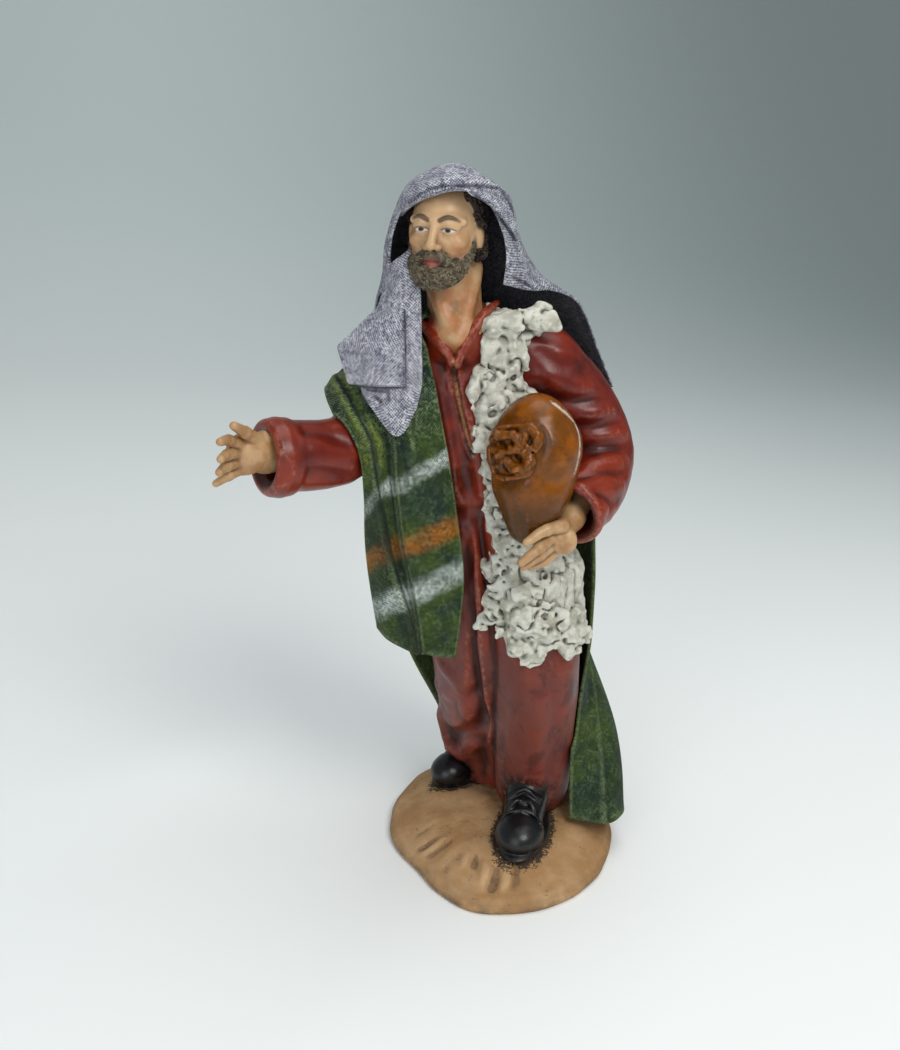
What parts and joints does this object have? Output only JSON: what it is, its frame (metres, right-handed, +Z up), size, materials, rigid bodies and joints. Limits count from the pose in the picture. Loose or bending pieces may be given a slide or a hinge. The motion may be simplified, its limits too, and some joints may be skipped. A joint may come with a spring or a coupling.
{
  "type": "nativity shepherd figure",
  "caption": "Standing shepherd for a nativity scene: painted clay with stiffened cloth cloak and headscarf, a fleece over one shoulder and a wineskin under the arm.",
  "frame": {"origin": "middle of the flat underside of the ground that the figure stands on", "axes": "+Z up through the figure, -Y the way the figure faces, +X to the figure's left hand"},
  "size_m": [0.0947, 0.0724, 0.1699],
  "materials": {
    "painted_robe": "satin paint on fired clay",
    "painted_flesh": "satin paint on fired clay",
    "painted_leather": "satin paint on fired clay",
    "painted_wool": "matt paint on rough clay",
    "cloak_cloth": "painted, glue-stiffened cotton",
    "scarf_cloth": "painted, glue-stiffened cotton"
  },
  "bodies": {
    "root": {"clay_figure": "painted_robe", "right_hand": "painted_flesh", "left_hand": "painted_flesh", "wineskin": "painted_leather", "fleece": "painted_wool", "cloak": "cloak_cloth", "headscarf": "scarf_cloth"}
  },
  "joints": []
}
